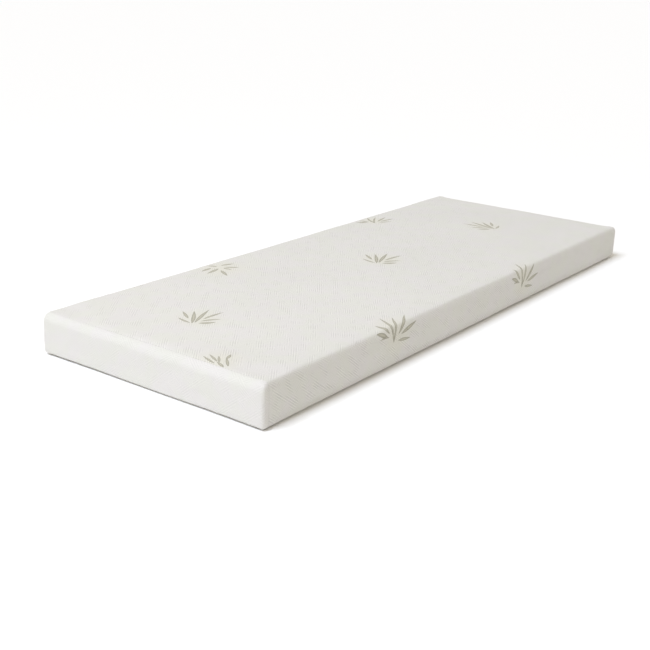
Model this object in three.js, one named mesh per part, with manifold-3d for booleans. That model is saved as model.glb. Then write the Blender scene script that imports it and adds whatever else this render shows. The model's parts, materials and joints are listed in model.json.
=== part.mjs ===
// A memory foam mattress for a narrow single bed. Two foam layers make the core, a thin knitted
// sock stays on it, and a washable stretch-knit cover closes over both with a zip on one long side.
//
// Millimetres, +Z up. The origin is on the surface that the mattress lies on, under its centre.
// +X runs along the mattress to its head end, and +Y across it to the side with the zip.

import * as THREE from "three";
import { mergeVertices } from "three/addons/utils/BufferGeometryUtils.js";
import Module from "manifold-3d";

const wasm = await Module();
wasm.setup();

// The covered mattress.
const LENGTH = 1905;
const WIDTH = 711;
const HEIGHT = 110;
const SIDE_EDGE = { inward: 9, downward: 22 }; // the curve of the top's edge along the sides
const END_EDGE = { inward: 25, downward: 25 }; // and across the ends
const BOTTOM_EDGE = { inward: 20, upward: 11 }; // the curve round the underside
const CORNER = 8; // radius of the four upright corners, seen from above
const GAP = 0.3; // between pieces that touch

// What lies under the surface, from the outside in.
const COVER_THICKNESS = 3;
const COVER_EASE_FLAT = 0.4; // between cover and sock, above and below
const COVER_EASE_SIDE = 2.9; // and at the sides, where the back of the zip needs room
const SOCK_THICKNESS = 1.2;
const SOCK_EASE = 0.4; // between sock and foam
const MEMORY_FOAM = 25; // thickness of the upper layer
const SOCK_SIDE = COVER_THICKNESS + COVER_EASE_SIDE;
const SOCK_FLAT = COVER_THICKNESS + COVER_EASE_FLAT;
const FOAM_SIDE = SOCK_SIDE + SOCK_THICKNESS + SOCK_EASE;
const FOAM_FLAT = SOCK_FLAT + SOCK_THICKNESS + SOCK_EASE;

// The seam that joins each end panel to the wrap.
const END_SEAM_X = LENGTH / 2 - 18; // its plane
const END_SEAM_WIDTH = 2.4;
const END_SEAM_SUNK = 0.8; // how far it lies below the cover's surface

// The slit in the sock's foot end, and the sewn seam that fills it.
const SOCK_SLIT_LENGTH = 600;
const SOCK_SLIT_HEIGHT = 2;

// The zip, on the +Y side. Depth is measured inwards from the cover's outer face.
const ZIP_Z = 30; // height of its centre line
const ZIP_OPENING_LENGTH = 1724; // of the slot in the cover
const ZIP_OPENING_HEIGHT = 12;
const COIL_LENGTH = 1680;
const COIL_INNER = 0.6; // from the centre line to the near side of each half
const COIL_OUTER = 3.1; // and to its far side
const COIL_DEPTH = [1.2, 3];
const TAPE_OUTER = 13;
const TAPE_DEPTH = [3.3, 3.9];
const STOP_LENGTH = 3;

// The slider. It is made about its own centre, at its closed place.
const SLIDER_LENGTH = 12;
const SLIDER_BACK_WIDTH = 8.8;
const SLIDER_FRONT_WIDTH = 10.4;
const SLIDER_FRONT_PLATE_DEPTH = [-0.1, 0.9];
const SLIDER_REAR_PLATE_DEPTH = [4.2, 5];
const SLIDER_FLANGE = 1; // thickness
const SLIDER_WEB = { length: 5, height: 0.5 }; // joins the plates between the two coils
const SLIDER_FROM_COIL_END = 8;
const SLIDER_X = -COIL_LENGTH / 2 + SLIDER_FROM_COIL_END;
const BRIDGE = { length: 8, rise: 3.2, thickness: 1.1, height: 2.2 };

// The pull tab, which turns on an upright line under the bridge.
const PULL_LENGTH = 31;
const PULL_HEIGHT = 7;
const PULL_THICKNESS = 1.2;
const PULL_BAR = 1; // width of the bar under the bridge
const PULL_WINDOW = { length: 4.8, height: 4.2 };
const PULL_GRIP_HOLE = { length: 9, height: 3 };
const PULL_AXIS_DEPTH = SLIDER_FRONT_PLATE_DEPTH[0] - GAP - PULL_THICKNESS / 2;

// The care label, a satin tab caught in the head end's seam on the zip side.
const LABEL = { length: 46, height: 30, thickness: 0.6, z: 64 };

const materials = {
  cover: [0xe9e6e0, 0.9],
  foam: [0xf3efe2, 0.95],
  memoryFoam: [0xd9e4e6, 0.95],
  sock: [0xf6f5f1, 0.9],
  thread: [0xe2dfd8, 0.7],
  tape: [0xeeece7, 0.8],
  coil: [0xe9e7e2, 0.4],
  zinc: [0xb9babb, 0.35, 0.9],
  label: [0xfbfbfa, 0.5],
};

const mattress = new THREE.Group();

function addPiece(name, solid, [color, roughness, metalness = 0], parent = mattress) {
  const material = new THREE.MeshStandardMaterial({ color, roughness, metalness });
  const mesh = new THREE.Mesh(geometryOf(solid), material);
  mesh.name = name;
  parent.add(mesh);
  return mesh;
}

// three.js geometry to a solid that can be cut and joined.
function solidOf(geometry) {
  const bare = geometry.clone();
  bare.deleteAttribute("normal");
  bare.deleteAttribute("uv");
  const merged = mergeVertices(bare, 1e-4);
  const vertProperties = merged.attributes.position.array;
  const triVerts = new Uint32Array(merged.index.array);
  return new wasm.Manifold(new wasm.Mesh({ numProp: 3, vertProperties, triVerts }));
}

// And back.
function geometryOf(solid) {
  const { vertProperties, triVerts } = solid.getMesh();
  const geometry = new THREE.BufferGeometry();
  geometry.setAttribute("position", new THREE.BufferAttribute(vertProperties, 3));
  geometry.setIndex(new THREE.BufferAttribute(triVerts, 1));
  geometry.computeVertexNormals();
  return geometry;
}

function boxBetween([x0, x1], [y0, y1], [z0, z1]) {
  const geometry = new THREE.BoxGeometry(x1 - x0, y1 - y0, z1 - z0);
  geometry.translate((x0 + x1) / 2, (y0 + y1) / 2, (z0 + z1) / 2);
  return solidOf(geometry);
}

const CURVE_STEPS = 6; // flats in each quarter turn

// A block's outline, as wide as 2 half and from low to high. Each of its upper corners is a quarter
// ellipse that reaches inward and down by the amounts in upper, and each lower one inward and up.
function outline(half, low, high, upper, lower) {
  const shape = new THREE.Shape();
  const upperX = half - upper[0];
  const upperY = high - upper[1];
  const lowerX = half - lower[0];
  const lowerY = low + lower[1];
  const quarter = Math.PI / 2;
  shape.moveTo(lowerX, low);
  shape.absellipse(lowerX, lowerY, ...lower, -quarter, 0);
  shape.absellipse(upperX, upperY, ...upper, 0, quarter);
  shape.absellipse(-upperX, upperY, ...upper, quarter, 2 * quarter);
  shape.absellipse(-lowerX, lowerY, ...lower, 2 * quarter, 3 * quarter);
  shape.closePath();
  return shape;
}

// A prism whose outline is drawn in x and y, half of it on each side of z = 0.
function prism(shape, length) {
  const settings = { depth: length, bevelEnabled: false, curveSegments: CURVE_STEPS };
  const geometry = new THREE.ExtrudeGeometry(shape, settings);
  return geometry.translate(0, 0, -length / 2);
}

// The mattress's own shape, drawn in by one amount at the sides and another above and below. It is what
// three prisms share: its outline seen from one end, from one side and from above.
function mattressShape(side, flat) {
  const halfWidth = WIDTH / 2 - side;
  const halfLength = LENGTH / 2 - side;
  const top = HEIGHT - flat;
  const sideEdge = [SIDE_EDGE.inward - side, SIDE_EDGE.downward - flat];
  const endEdge = [END_EDGE.inward - side, END_EDGE.downward - flat];
  const bottomEdge = [BOTTOM_EDGE.inward - side, BOTTOM_EDGE.upward - flat];
  const corner = [CORNER - side, CORNER - side];

  const fromEnd = outline(halfWidth, flat, top, sideEdge, bottomEdge);
  const fromSide = outline(halfLength, flat, top, endEdge, bottomEdge);
  const fromAbove = outline(halfLength, -halfWidth, halfWidth, corner, corner);
  const along = prism(fromEnd, 2 * LENGTH).rotateX(Math.PI / 2).rotateZ(Math.PI / 2);
  const across = prism(fromSide, 2 * WIDTH).rotateX(Math.PI / 2);
  const upright = prism(fromAbove, 3 * HEIGHT);
  return solidOf(along).intersect(solidOf(across)).intersect(solidOf(upright));
}

const whole = [-LENGTH, LENGTH];
const tall = [-HEIGHT, 2 * HEIGHT];

// An extent in depth, as an extent in y on the zip side.
function inwards([near, far]) {
  return [WIDTH / 2 - far, WIDTH / 2 - near];
}

// An extent away from the zip's centre line, above it (side 1) or below it (side -1).
function fromZip(side, [near, far]) {
  const ends = [ZIP_Z + side * near, ZIP_Z + side * far];
  return [Math.min(...ends), Math.max(...ends)];
}

// Foam core
const core = mattressShape(FOAM_SIDE, FOAM_FLAT);
const layerPlane = HEIGHT - FOAM_FLAT - MEMORY_FOAM;
const below = boxBetween(whole, whole, [-HEIGHT, layerPlane - GAP / 2]);
const above = boxBetween(whole, whole, [layerPlane + GAP / 2, 2 * HEIGHT]);
addPiece("support_foam_base", core.intersect(below), materials.foam);
addPiece("memory_foam_layer", core.intersect(above), materials.memoryFoam);

// Inner sock
function addSock() {
  const outside = mattressShape(SOCK_SIDE, SOCK_FLAT);
  const inside = mattressShape(SOCK_SIDE + SOCK_THICKNESS, SOCK_FLAT + SOCK_THICKNESS);
  const footFace = -LENGTH / 2 + SOCK_SIDE;
  const halfSlit = SOCK_SLIT_LENGTH / 2;
  const slitZ = [HEIGHT / 2 - SOCK_SLIT_HEIGHT / 2, HEIGHT / 2 + SOCK_SLIT_HEIGHT / 2];
  const slit = boxBetween([footFace - 1, footFace + 2 * SOCK_THICKNESS], [-halfSlit, halfSlit], slitZ);
  addPiece("inner_sock", outside.subtract(inside).subtract(slit), materials.sock);

  const seam = boxBetween(
    [footFace, footFace + SOCK_THICKNESS],
    [-halfSlit + GAP, halfSlit - GAP],
    [slitZ[0] + GAP, slitZ[1] - GAP],
  );
  addPiece("inner_sock_closing_seam", seam, materials.thread);
}
addSock();

// Cover
function addCover() {
  const outside = mattressShape(0, 0);
  const shell = outside.subtract(mattressShape(COVER_THICKNESS, COVER_THICKNESS));
  const wrapEnd = END_SEAM_X - END_SEAM_WIDTH / 2 - GAP;
  const panelStart = END_SEAM_X + END_SEAM_WIDTH / 2 + GAP;

  const halfOpening = ZIP_OPENING_LENGTH / 2;
  const opening = boxBetween(
    [-halfOpening, halfOpening],
    inwards([-COVER_THICKNESS, 2 * COVER_THICKNESS]),
    [ZIP_Z - ZIP_OPENING_HEIGHT / 2, ZIP_Z + ZIP_OPENING_HEIGHT / 2],
  );
  const middle = boxBetween([-wrapEnd, wrapEnd], whole, tall);
  addPiece("cover_wrap", shell.intersect(middle).subtract(opening), materials.cover);

  const head = boxBetween([panelStart, LENGTH], whole, tall);
  const foot = boxBetween([-LENGTH, -panelStart], whole, tall);
  addPiece("cover_end_panel_head", shell.intersect(head), materials.cover);
  addPiece("cover_end_panel_foot", shell.intersect(foot), materials.cover);

  const seamShell = mattressShape(END_SEAM_SUNK, END_SEAM_SUNK).subtract(
    mattressShape(COVER_THICKNESS, COVER_THICKNESS),
  );
  const halfSeam = END_SEAM_WIDTH / 2;
  const atHead = boxBetween([END_SEAM_X - halfSeam, END_SEAM_X + halfSeam], whole, tall);
  const atFoot = boxBetween([-END_SEAM_X - halfSeam, -END_SEAM_X + halfSeam], whole, tall);
  addPiece("end_seam_head", seamShell.intersect(atHead), materials.thread);
  addPiece("end_seam_foot", seamShell.intersect(atFoot), materials.thread);
}
addCover();

// Zip: two tapes, a coil on each, and the stops at the ends of the coils
function addZip() {
  const halfTape = ZIP_OPENING_LENGTH / 2;
  const halfCoil = COIL_LENGTH / 2;
  const topStopX = [-halfCoil - GAP - STOP_LENGTH, -halfCoil - GAP];
  const bottomStopX = [halfCoil + GAP, halfCoil + GAP + STOP_LENGTH];
  const halves = [
    ["upper", 1],
    ["lower", -1],
  ];
  for (const [half, side] of halves) {
    const tapeZ = fromZip(side, [COIL_INNER, TAPE_OUTER]);
    const coilZ = fromZip(side, [COIL_INNER, COIL_OUTER]);
    const tape = boxBetween([-halfTape, halfTape], inwards(TAPE_DEPTH), tapeZ);
    const coil = boxBetween([-halfCoil, halfCoil], inwards(COIL_DEPTH), coilZ);
    const stop = boxBetween(topStopX, inwards(COIL_DEPTH), coilZ);
    addPiece(`zip_tape_${half}`, tape, materials.tape);
    addPiece(`zip_coil_${half}`, coil, materials.coil);
    addPiece(`zip_top_stop_${half}`, stop, materials.zinc);
  }
  const acrossBoth = [ZIP_Z - COIL_OUTER, ZIP_Z + COIL_OUTER];
  addPiece("zip_bottom_stop", boxBetween(bottomStopX, inwards(COIL_DEPTH), acrossBoth), materials.zinc);
}
addZip();

// A flat piece drawn in x and z, and given a thickness in depth from the cover's face.
function plate(shape, [near, far]) {
  const geometry = new THREE.ExtrudeGeometry(shape, {
    depth: far - near,
    bevelEnabled: false,
    curveSegments: 8,
  });
  geometry.rotateX(Math.PI / 2);
  geometry.translate(0, -near, 0);
  return solidOf(geometry);
}

// The slider's outline: wide at the front, which leads when the zip is closed, and narrow behind.
function sliderOutline() {
  const front = -SLIDER_LENGTH / 2;
  const back = SLIDER_LENGTH / 2;
  const wide = SLIDER_FRONT_WIDTH / 2;
  const narrow = SLIDER_BACK_WIDTH / 2;
  const shape = new THREE.Shape();
  shape.moveTo(back, -narrow);
  shape.lineTo(back, narrow);
  shape.lineTo(0, narrow);
  shape.quadraticCurveTo(front + 2, wide, front + 1, wide);
  shape.quadraticCurveTo(front - 0.6, 0, front + 1, -wide);
  shape.quadraticCurveTo(front + 2, -wide, 0, -narrow);
  shape.closePath();
  return shape;
}

// The bridge's side view, x along the zip and y outwards from the front plate.
function bridgeSolid() {
  const { length, rise, thickness, height } = BRIDGE;
  const shape = new THREE.Shape();
  shape.moveTo(length / 2, -0.3);
  shape.quadraticCurveTo(length / 2, rise, 0, rise);
  shape.quadraticCurveTo(-length / 2, rise, -length / 2, -0.3);
  shape.lineTo(-length / 2 + thickness, -0.3);
  shape.quadraticCurveTo(-length / 2 + thickness, rise - thickness, 0, rise - thickness);
  shape.quadraticCurveTo(length / 2 - thickness, rise - thickness, length / 2 - thickness, -0.3);
  shape.closePath();
  const geometry = new THREE.ExtrudeGeometry(shape, {
    depth: height,
    bevelEnabled: false,
    curveSegments: 8,
  });
  geometry.translate(0, -SLIDER_FRONT_PLATE_DEPTH[0], -height / 2);
  return solidOf(geometry);
}

function sliderSolid() {
  const [, plateBack] = SLIDER_FRONT_PLATE_DEPTH;
  const front = plate(sliderOutline(), SLIDER_FRONT_PLATE_DEPTH);
  const rear = plate(sliderOutline(), SLIDER_REAR_PLATE_DEPTH);
  const { length, height } = SLIDER_WEB;
  const web = boxBetween(
    [-length / 2, length / 2],
    [-SLIDER_REAR_PLATE_DEPTH[0] - 0.2, -plateBack + 0.2],
    [-height / 2, height / 2],
  );
  let solid = front.add(rear).add(web).add(bridgeSolid());
  for (const side of [1, -1]) {
    const outer = side * (SLIDER_BACK_WIDTH / 2);
    const inner = outer - side * SLIDER_FLANGE;
    const flange = boxBetween(
      [0, SLIDER_LENGTH / 2],
      [-TAPE_DEPTH[0] + GAP, -plateBack + 0.2],
      [Math.min(inner, outer), Math.max(inner, outer)],
    );
    solid = solid.add(flange);
  }
  return solid;
}

// The pull tab lies flat, back along the zip. Its end bar is centred on the axis that it turns on.
function pullSolid() {
  const barEnd = -PULL_BAR / 2;
  const half = PULL_HEIGHT / 2;
  const tip = barEnd + PULL_LENGTH - half;
  const shape = new THREE.Shape();
  shape.moveTo(barEnd, -half + 1);
  shape.lineTo(tip, -half);
  shape.absarc(tip, 0, half, -Math.PI / 2, Math.PI / 2);
  shape.lineTo(barEnd, half - 1);
  shape.closePath();
  const holes = [
    [PULL_BAR / 2 + PULL_WINDOW.length / 2, PULL_WINDOW],
    [tip - PULL_GRIP_HOLE.length / 2, PULL_GRIP_HOLE],
  ];
  for (const [middle, { length, height }] of holes) {
    const hole = new THREE.Path();
    hole.moveTo(middle - length / 2, -height / 2);
    hole.lineTo(middle - length / 2, height / 2);
    hole.lineTo(middle + length / 2, height / 2);
    hole.lineTo(middle + length / 2, -height / 2);
    hole.closePath();
    shape.holes.push(hole);
  }
  return plate(shape, [-PULL_THICKNESS / 2, PULL_THICKNESS / 2]);
}

const slider = new THREE.Group();
slider.position.set(SLIDER_X, WIDTH / 2, ZIP_Z);
mattress.add(slider);
addPiece("zip_slider", sliderSolid(), materials.zinc, slider);
const pull = addPiece("zip_pull", pullSolid(), materials.zinc, slider);
pull.position.y = -PULL_AXIS_DEPTH;

// Care label: it comes out of the seam and lies flat along the side
const label = boxBetween(
  [END_SEAM_X - LABEL.length, END_SEAM_X],
  inwards([-GAP - LABEL.thickness, -GAP]),
  [LABEL.z - LABEL.height / 2, LABEL.z + LABEL.height / 2],
);
addPiece("care_label", label, materials.label);

export default mattress;
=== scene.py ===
"""A memory foam mattress in a removable stretch-knit cover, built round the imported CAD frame.

Metres, +Z up, in the CAD part's frame: +X along the mattress to its head end, +Y across it to the side
with the zip, and z = 0 on the surface that it lies on.

Cloth coordinates, in metres: u runs along +X, and v round the mattress. v is 0 on the top's middle line
and grows towards the -Y side, down it and along the underside to the zip.
"""

import json
import math

import bpy
import numpy as np
from mathutils import Matrix, Vector, noise
from mathutils.bvhtree import BVHTree
from mathutils.geometry import delaunay_2d_cdt

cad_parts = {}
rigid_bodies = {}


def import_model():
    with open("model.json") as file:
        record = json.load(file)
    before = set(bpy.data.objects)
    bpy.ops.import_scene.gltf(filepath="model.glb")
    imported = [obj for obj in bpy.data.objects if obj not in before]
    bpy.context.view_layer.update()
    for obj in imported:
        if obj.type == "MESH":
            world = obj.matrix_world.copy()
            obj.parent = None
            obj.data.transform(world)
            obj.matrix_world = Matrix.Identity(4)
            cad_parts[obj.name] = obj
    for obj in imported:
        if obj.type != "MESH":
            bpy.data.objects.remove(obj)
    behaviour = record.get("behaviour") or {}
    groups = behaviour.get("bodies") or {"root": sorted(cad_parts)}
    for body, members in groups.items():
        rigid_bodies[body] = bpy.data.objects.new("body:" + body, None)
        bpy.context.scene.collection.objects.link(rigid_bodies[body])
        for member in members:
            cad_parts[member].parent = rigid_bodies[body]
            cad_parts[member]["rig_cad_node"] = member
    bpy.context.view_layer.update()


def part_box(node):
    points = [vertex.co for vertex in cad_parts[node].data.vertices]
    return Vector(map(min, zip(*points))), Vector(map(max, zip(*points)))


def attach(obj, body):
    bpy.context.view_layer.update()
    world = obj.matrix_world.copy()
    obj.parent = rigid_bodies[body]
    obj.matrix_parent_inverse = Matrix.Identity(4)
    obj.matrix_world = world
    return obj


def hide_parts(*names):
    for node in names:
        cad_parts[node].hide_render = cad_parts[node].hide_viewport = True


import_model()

BODY = "mattress"

# ---------------------------------------------------------------- sizes, taken from the frame


def cad_box(node):
    """The lowest and the highest corner of a CAD node's box."""
    return np.array(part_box(node), float)


HALF_LENGTH = cad_box("cover_end_panel_head")[1, 0]
_, HALF_WIDTH, HEIGHT = cad_box("cover_wrap")[1]
SEAM_X = cad_box("end_seam_head").mean(axis=0)[0]
ZIP_Z = (cad_box("zip_tape_upper")[0, 2] + cad_box("zip_tape_lower")[1, 2]) / 2
ZIP_HALF_LENGTH = cad_box("zip_tape_upper")[1, 0]

SIDE_EDGE_IN = 0.009  # how far the top's edge along the sides reaches inwards
SIDE_EDGE_DOWN = 0.022  # and down
END_EDGE = 0.025  # radius of the top's edge across the ends
BOTTOM_EDGE_IN = 0.020  # how far the edge round the underside reaches inwards
BOTTOM_EDGE_UP = 0.011  # and up
CORNER = 0.008  # radius of the upright corners, seen from above

# ---------------------------------------------------------------- making objects


def set_up(made, **settings):
    """Gives something new its settings, and hands it back."""
    for name, value in settings.items():
        setattr(made, name, value)
    return made


def add_object(name, data):
    made = bpy.data.objects.new(name, data)
    bpy.context.scene.collection.objects.link(made)
    return made


def add_plain_mesh(name, vertices, faces):
    mesh = bpy.data.meshes.new(name)
    mesh.from_pydata([tuple(v) for v in vertices], [], [tuple(f) for f in faces])
    return add_object(name, mesh)


# ---------------------------------------------------------------- camera, light and floor

LENS = 59.01  # mm, on a sensor 36 mm wide
CAMERA_PLACE = (-2.5448, -1.6616, 0.9591)
CAMERA_AZIMUTH = 54.030  # degrees, from +Y towards +X
CAMERA_ELEVATION = 19.111  # degrees that it looks down
CAMERA_ROLL = 1.978

GLOW_COLOUR = (1, 0.932, 0.805, 1)
GLOW_STRENGTH = 0.583
LAMP_STRENGTH = 1.66
LAMP_WIDTH = 26  # degrees that it spans
LAMP_COLOUR = (1.0, 1.08, 1.24)
TOWARDS_LAMP = (-0.48, 0.11, 0.8)
SOFTBOX_POWER = 7.3
SOFTBOX_WIDTH = 1.4
SOFTBOX_COLOUR = (1.0, 0.99, 1.015)
SOFTBOX_PLACE = (-1.35, 0.3, 1.9)
TOWARDS_SOFTBOX = (-0.1, 0.0, 1.0)

FLOOR_REACH = 90
FLOOR_COLOUR = (0.985, 0.985, 0.985, 1)


def look(place, azimuth, elevation, roll):
    """A camera's matrix from where it is and how it is turned, in degrees."""
    az, el, ro = (math.radians(a) for a in (azimuth, elevation, roll))
    forward = Vector((math.sin(az) * math.cos(el), math.cos(az) * math.cos(el), -math.sin(el)))
    level = Vector((math.cos(az), -math.sin(az), 0))
    upright = level.cross(forward)
    right = math.cos(ro) * level + math.sin(ro) * upright
    up = math.cos(ro) * upright - math.sin(ro) * level
    turn = Matrix((right, up, -forward)).transposed().to_4x4()
    return Matrix.Translation(Vector(place)) @ turn


def add_camera():
    data = set_up(bpy.data.cameras.new("camera"), sensor_width=36, lens=LENS, clip_end=200)
    camera = add_object("camera", data)
    camera.matrix_world = look(CAMERA_PLACE, CAMERA_AZIMUTH, CAMERA_ELEVATION, CAMERA_ROLL)
    bpy.context.scene.camera = camera


def add_lamp(name, kind, towards, **settings):
    """A light that shines from the side that towards points to."""
    lamp = add_object(name, set_up(bpy.data.lights.new(name, kind), **settings))
    lamp.rotation_euler = Vector(towards).to_track_quat("Z", "Y").to_euler()
    return lamp


def add_light():
    """A broad lamp from beyond the foot end, a softbox hung over it, and an even glow from all round."""
    world = bpy.data.worlds.new("studio")
    world.use_nodes = True
    background = world.node_tree.nodes["Background"]
    background.inputs["Color"].default_value = GLOW_COLOUR
    background.inputs["Strength"].default_value = GLOW_STRENGTH
    bpy.context.scene.world = world
    bpy.context.scene.view_settings.view_transform = "Standard"

    settings = {"energy": LAMP_STRENGTH, "angle": math.radians(LAMP_WIDTH), "color": LAMP_COLOUR}
    add_lamp("lamp", "SUN", TOWARDS_LAMP, **settings)
    settings = {"shape": "DISK", "size": SOFTBOX_WIDTH, "energy": SOFTBOX_POWER, "color": SOFTBOX_COLOUR}
    add_lamp("softbox", "AREA", TOWARDS_SOFTBOX, **settings).location = SOFTBOX_PLACE


def add_floor():
    corners = [(x * FLOOR_REACH, y * FLOOR_REACH, 0) for x, y in ((-1, -1), (1, -1), (1, 1), (-1, 1))]
    floor = add_plain_mesh("floor", corners, [(0, 1, 2, 3)])
    floor.data.materials.append(Shading("floor_white", 0.9).colour(FLOOR_COLOUR).material)


# ---------------------------------------------------------------- materials

MATERIALS = {}  # by slot


class Shading:
    """A material with one Principled shader, and short ways to add nodes to it."""

    def __init__(self, name, roughness, metallic=0, sheen=0):
        self.material = MATERIALS[name] = bpy.data.materials.new(name)
        self.material.use_nodes = True
        self.tree = self.material.node_tree
        self.shader = self.tree.nodes["Principled BSDF"]
        self.shader.inputs["Roughness"].default_value = roughness
        self.shader.inputs["Metallic"].default_value = metallic
        self.shader.inputs["Sheen Weight"].default_value = sheen

    def node(self, kind, **settings):
        return set_up(self.tree.nodes.new(kind), **settings)

    def put(self, value, socket):
        if isinstance(value, bpy.types.NodeSocket):
            self.tree.links.new(value, socket)
        else:
            socket.default_value = value

    def math(self, operation, *values):
        made = self.node("ShaderNodeMath", operation=operation)
        for value, socket in zip(values, made.inputs):
            self.put(value, socket)
        return made.outputs[0]

    def times(self, a, b):
        return self.math("MULTIPLY", a, b)

    def times_plus(self, a, b, c):
        return self.math("MULTIPLY_ADD", a, b, c)

    def ramp(self, value, low, high, to_low=0.0, to_high=1.0):
        made = self.node("ShaderNodeMapRange", interpolation_type="SMOOTHSTEP")
        given = {"Value": value, "From Min": low, "From Max": high, "To Min": to_low, "To Max": to_high}
        for name, number in given.items():
            self.put(number, made.inputs[name])
        return made.outputs["Result"]

    def noise(self, place, scale, detail=2.0, stretch=None):
        if stretch is not None:
            mapping = self.node("ShaderNodeMapping")
            mapping.inputs["Scale"].default_value = stretch
            self.put(place, mapping.inputs["Vector"])
            place = mapping.outputs["Vector"]
        made = self.node("ShaderNodeTexNoise")
        self.put(place, made.inputs["Vector"])
        made.inputs["Scale"].default_value = scale
        made.inputs["Detail"].default_value = detail
        return made.outputs["Fac"]

    def attribute(self, name):
        """A value that the mesh holds at each vertex."""
        return self.node("ShaderNodeAttribute", attribute_name=name).outputs["Fac"]

    def object_place(self):
        return self.node("ShaderNodeTexCoord").outputs["Object"]

    def cloth_place(self):
        """The cloth coordinates, as a vector and as its first two parts."""
        uv = self.node("ShaderNodeUVMap", uv_map="cloth").outputs["UV"]
        split = self.node("ShaderNodeSeparateXYZ")
        self.put(uv, split.inputs[0])
        return uv, split.outputs[0], split.outputs[1]

    def mix(self, amount, a, b):
        made = self.node("ShaderNodeMix", data_type="RGBA")
        self.put(amount, made.inputs["Factor"])
        for given, place in ((a, 6), (b, 7)):
            colour = given if isinstance(given, bpy.types.NodeSocket) else (*given, 1)
            self.put(colour, made.inputs[place])
        return made.outputs[2]

    def colour(self, value, amount=None):
        """The surface's colour. amount, where given, makes it lighter or darker from place to place."""
        if amount is not None:
            made = self.node("ShaderNodeVectorMath", operation="SCALE")
            self.put(value, made.inputs[0])
            self.put(amount, made.inputs["Scale"])
            value = made.outputs[0]
        self.put(value, self.shader.inputs["Base Color"])
        return self

    def roughness(self, value):
        self.put(value, self.shader.inputs["Roughness"])
        return self

    def bump(self, height, distance, strength=1.0):
        made = self.node("ShaderNodeBump")
        made.inputs["Distance"].default_value = distance
        made.inputs["Strength"].default_value = strength
        self.put(height, made.inputs["Height"])
        self.put(made.outputs["Normal"], self.shader.inputs["Normal"])
        return self


KNIT_PITCH = 0.0054  # between the knit's diagonal ribs
RIB_TURN = math.radians(37)  # of the ribs from the length of the cloth
STITCH_WIDTH = 0.0013
STITCH_HEIGHT = 0.0011
FURROW_BUMP = 0.0006  # how deep the knit's furrows look
LEAF_BUMP = 0.0004
KNIT_COLOUR = (0.692, 0.689, 0.648)
KNIT_COLOUR_2 = (0.698, 0.683, 0.666)  # of yarn from another cone, which runs through it in patches
TINT_COLOUR = (0.695, 0.682, 0.611)  # of the ground round a motif
LEAF_COLOUR = (0.335, 0.322, 0.258)
LEAF_COLOUR_2 = (0.570, 0.552, 0.460)  # along the middle of a leaf
THREAD_COLOUR = (0.70, 0.69, 0.65)
ZIP_COLOUR = (0.74, 0.73, 0.69)
METAL_COLOUR = (0.63, 0.625, 0.61)
SATIN_COLOUR = (0.86, 0.86, 0.84)
SOCK_COLOUR = (0.83, 0.82, 0.79)
MEMORY_FOAM_COLOUR = (0.66, 0.73, 0.75)
SUPPORT_FOAM_COLOUR = (0.80, 0.76, 0.62)


def furrows(shading, u, v, hand, strength):
    """The furrows between one family of ribs, deeper in some stretches than in others."""
    along = shading.times(u, math.cos(RIB_TURN))
    along = shading.times_plus(v, -hand * math.sin(RIB_TURN), along)
    across = shading.times(u, math.sin(RIB_TURN))
    across = shading.times_plus(v, hand * math.cos(RIB_TURN), across)
    joined = shading.node("ShaderNodeCombineXYZ")
    shading.put(along, joined.inputs[0])
    shading.put(across, joined.inputs[1])
    place = joined.outputs[0]
    waver = shading.times_plus(shading.noise(place, 60, 1, (0.4, 1, 1)), 1.0, -0.5)
    turned = shading.times_plus(across, math.pi / KNIT_PITCH, waver)
    furrow = shading.math("POWER", shading.math("ABSOLUTE", shading.math("COSINE", turned)), 2.0)
    depth = shading.ramp(shading.noise(place, 1, 1, (22, 50, 1)), 0.46, 0.64, 0.06, 1.0)
    depth = shading.times(depth, strength)
    return shading.times(furrow, depth), depth


def knit_relief(shading):
    """Heights of a double knit: lozenges between two families of ribs, made of rows of stitches."""
    uv, u, v = shading.cloth_place()
    furrow, depth = furrows(shading, u, v, 1, shading.attribute("ribs"))
    cross_furrow, cross_depth = furrows(shading, u, v, -1, shading.attribute("cross_ribs"))
    deepest = shading.math("MAXIMUM", furrow, cross_furrow)
    depths = shading.times(shading.math("ADD", depth, cross_depth), 0.42)
    pads = shading.math("SUBTRACT", depths, deepest)

    wale = shading.math("COSINE", shading.times(u, 2 * math.pi / STITCH_WIDTH))
    slant = shading.math("ABSOLUTE", wale)
    slope = shading.times(slant, 2.2)
    row = shading.times_plus(v, 2 * math.pi / STITCH_HEIGHT, slope)
    bulge = shading.times_plus(slant, 0.6, 0.4)
    stitch = shading.times(shading.math("SINE", row), bulge)
    return uv, pads, stitch


def make_knit():
    shading = Shading("cover_knit", 0.92, sheen=0.12)
    uv, pads, stitch = knit_relief(shading)
    patches = shading.ramp(shading.noise(uv, 14, 2), 0.4, 0.6)
    ground = shading.mix(patches, KNIT_COLOUR, KNIT_COLOUR_2)
    colour = shading.mix(shading.attribute("tint"), ground, TINT_COLOUR)
    worn = shading.ramp(shading.noise(uv, 3.1, 3), 0.3, 0.7, 0.99, 1.01)
    fleck = shading.ramp(shading.noise(uv, 300, 2), 0.25, 0.75, 0.98, 1.02)
    # Painted shade: the colour is darker down in the furrows and between the rows of stitches, and lighter
    # on the lozenges.
    painted_furrow_shade = shading.times_plus(pads, 0.22, 1.0)
    painted_stitch_shade = shading.times_plus(stitch, 0.025, 1.0)
    yarn = shading.times(worn, fleck)
    painted_knit_shade = shading.times(painted_furrow_shade, painted_stitch_shade)
    shading.colour(colour, shading.times(yarn, painted_knit_shade))
    height = shading.times_plus(stitch, 0.12, pads)
    shading.bump(height, FURROW_BUMP, 0.8)


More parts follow.
